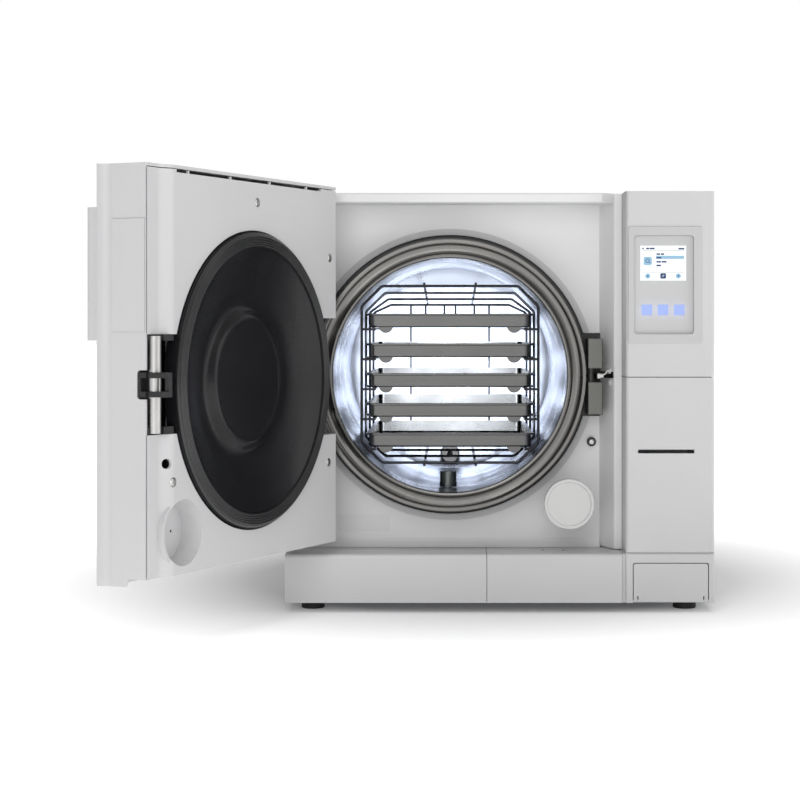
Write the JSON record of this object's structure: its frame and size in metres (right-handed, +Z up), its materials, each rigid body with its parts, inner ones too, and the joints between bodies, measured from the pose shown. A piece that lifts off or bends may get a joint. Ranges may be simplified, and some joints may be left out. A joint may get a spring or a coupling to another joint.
{
  "type": "benchtop autoclave",
  "caption": "Benchtop steam autoclave with an open side-hinged door, round steel chamber, wire rack with instrument trays and a control column.",
  "frame": {"origin": "on the worktop, below the middle of the cabinet's front face", "axes": "+X to the right seen from the front, +Y from the front to the back along the chamber, +Z up"},
  "size_m": [0.6046, 0.8854, 0.45],
  "materials": {
    "white_moulding": "fine satin moulding",
    "white_sheet": "fine textured powder coat",
    "zinc_sheet": "zinc plated",
    "rubber": "matt",
    "gasket_rubber": "satin silicone",
    "panel_grey": "satin",
    "screen": "lit screen",
    "key_light": "lit key window",
    "stainless": "brushed",
    "tray_steel": "satin",
    "wire_steel": "drawn wire",
    "heater": "silicone heater mat",
    "mineral_wool": "fibrous",
    "black_casting": "black satin paint",
    "grey_metal": "grey phosphate",
    "chrome": "polished",
    "ground_steel": "ground",
    "filter_white": "semi gloss",
    "cast_metal": "as cast",
    "black_coating": "black non-stick coating",
    "paper": "plain paper",
    "roller_rubber": "matt",
    "tank_plastic": "translucent white",
    "brass_fittings": "machined",
    "aluminium": "plain",
    "black_plastic": "matt",
    "board_green": "solder mask"
  },
  "bodies": {
    "cabinet": {"base_tray": "zinc_sheet", "feet": "rubber", "plinth_cover_left": "white_moulding", "plinth_cover_right": "white_moulding", "plinth_service_block": "white_moulding", "fascia": "white_moulding", "column_upper_cover": "white_moulding", "column_lower_cover": "white_moulding", "display_bezel": "panel_grey", "display_panel": "panel_grey", "lcd_screen": "screen", "touch_key_windows": "key_light", "side_panels": "white_sheet", "top_cover": "white_sheet", "rear_panel": "white_sheet", "pressure_vessel": "stainless", "chamber_flange": "stainless", "heating_bands": "heater", "insulation_jacket": "mineral_wool", "vessel_cradles": "zinc_sheet", "latch_backplate": "black_casting", "latch_blocks": "grey_metal", "lock_actuator": "black_casting", "hinge_bracket": "zinc_sheet", "hinge_pins": "ground_steel", "printer_mechanism": "zinc_sheet", "water_tanks": "tank_plastic", "vacuum_pump": "cast_metal", "valve_block": "brass_fittings", "condenser": "aluminium", "fan_frame": "black_plastic", "control_board": "board_green", "mains_inlet": "black_plastic", "water_connections": "brass_fittings"},
    "door": {"door_inner_panel": "white_moulding", "door_outer_cover": "white_moulding", "door_side_cover": "white_moulding", "door_handle": "white_moulding", "door_pressure_disc": "black_coating", "door_gasket": "gasket_rubber", "door_cross_arm": "cast_metal", "door_latch_carrier": "black_casting", "door_latch_pin": "ground_steel", "door_screws": "ground_steel"},
    "rack": {"tray_rack": "wire_steel"},
    "tray_1": {"tray_1": "tray_steel"},
    "tray_2": {"tray_2": "tray_steel"},
    "tray_3": {"tray_3": "tray_steel"},
    "tray_4": {"tray_4": "tray_steel"},
    "tray_5": {"tray_5": "tray_steel"},
    "service_flap": {"service_flap": "white_moulding"},
    "fill_lid": {"fill_lid": "white_moulding"},
    "chamber_filter": {"chamber_filter": "chrome"},
    "lock_bolt": {"lock_bolt": "chrome"},
    "door_switch_pin": {"door_switch_pin": "chrome"},
    "bacteriological_filter": {"bacteriological_filter": "filter_white"},
    "fan_rotor": {"fan_rotor": "black_plastic"},
    "power_switch": {"power_switch": "black_plastic"},
    "paper_roll": {"paper_roll": "paper"},
    "platen_roller": {"platen_roller": "roller_rubber"}
  },
  "joints": [
    {"name": "door_hinge", "type": "hinge", "parent": "cabinet", "child": "door", "pos_m": [-0.2, 0, 0.2476], "axis": [0, 0, -1], "range_deg": [-115, 0]},
    {"name": "service_flap_hinge", "type": "hinge", "parent": "cabinet", "child": "service_flap", "pos_m": [0.1794, 0.0016, 0.0122], "axis": [1, 0, 0], "range_deg": [0, 90]},
    {"name": "fill_lid_hinge", "type": "hinge", "parent": "cabinet", "child": "fill_lid", "pos_m": [0.155, 0.436, 0.446], "axis": [-1, 0, 0], "range_deg": [0, 100]},
    {"name": "rack_slide", "type": "slide", "parent": "cabinet", "child": "rack", "axis": [0, -1, 0], "range_m": [0, 0.4]},
    {"name": "tray_1_slide", "type": "slide", "parent": "rack", "child": "tray_1", "axis": [0, -1, 0], "range_m": [0, 0.3]},
    {"name": "tray_2_slide", "type": "slide", "parent": "rack", "child": "tray_2", "axis": [0, -1, 0], "range_m": [0, 0.3]},
    {"name": "tray_3_slide", "type": "slide", "parent": "rack", "child": "tray_3", "axis": [0, -1, 0], "range_m": [0, 0.3]},
    {"name": "tray_4_slide", "type": "slide", "parent": "rack", "child": "tray_4", "axis": [0, -1, 0], "range_m": [0, 0.3]},
    {"name": "tray_5_slide", "type": "slide", "parent": "rack", "child": "tray_5", "axis": [0, -1, 0], "range_m": [0, 0.3]},
    {"name": "chamber_filter_lift", "type": "slide", "parent": "cabinet", "child": "chamber_filter", "axis": [0, 0, 1], "range_m": [0, 0.006]},
    {"name": "lock_bolt_slide", "type": "slide", "parent": "cabinet", "child": "lock_bolt", "axis": [-1, 0, 0], "range_m": [-0.014, 0]},
    {"name": "door_switch_press", "type": "slide", "parent": "cabinet", "child": "door_switch_pin", "axis": [0, 1, 0], "range_m": [0, 0.004], "stiffness_N_per_m": 200},
    {"name": "bacteriological_filter_pull", "type": "slide", "parent": "cabinet", "child": "bacteriological_filter", "axis": [0, -1, 0], "range_m": [0, 0.045]},
    {"name": "fan_spin", "type": "hinge", "parent": "cabinet", "child": "fan_rotor", "pos_m": [-0.15, 0.544, 0.34], "axis": [0, 1, 0], "continuous": true},
    {"name": "power_switch_tip", "type": "hinge", "parent": "cabinet", "child": "power_switch", "pos_m": [0.175, 0.554, 0.116], "axis": [1, 0, 0], "range_deg": [0, 16]},
    {"name": "paper_roll_turn", "type": "hinge", "parent": "cabinet", "child": "paper_roll", "pos_m": [0.1745, 0.048, 0.138], "axis": [1, 0, 0], "continuous": true},
    {"name": "platen_turn", "type": "hinge", "parent": "cabinet", "child": "platen_roller", "pos_m": [0.1745, 0.012, 0.16], "axis": [1, 0, 0], "continuous": true}
  ],
  "couplings": [
    {"joint": "platen_turn", "follows": "paper_roll_turn", "ratio": 4}
  ]
}
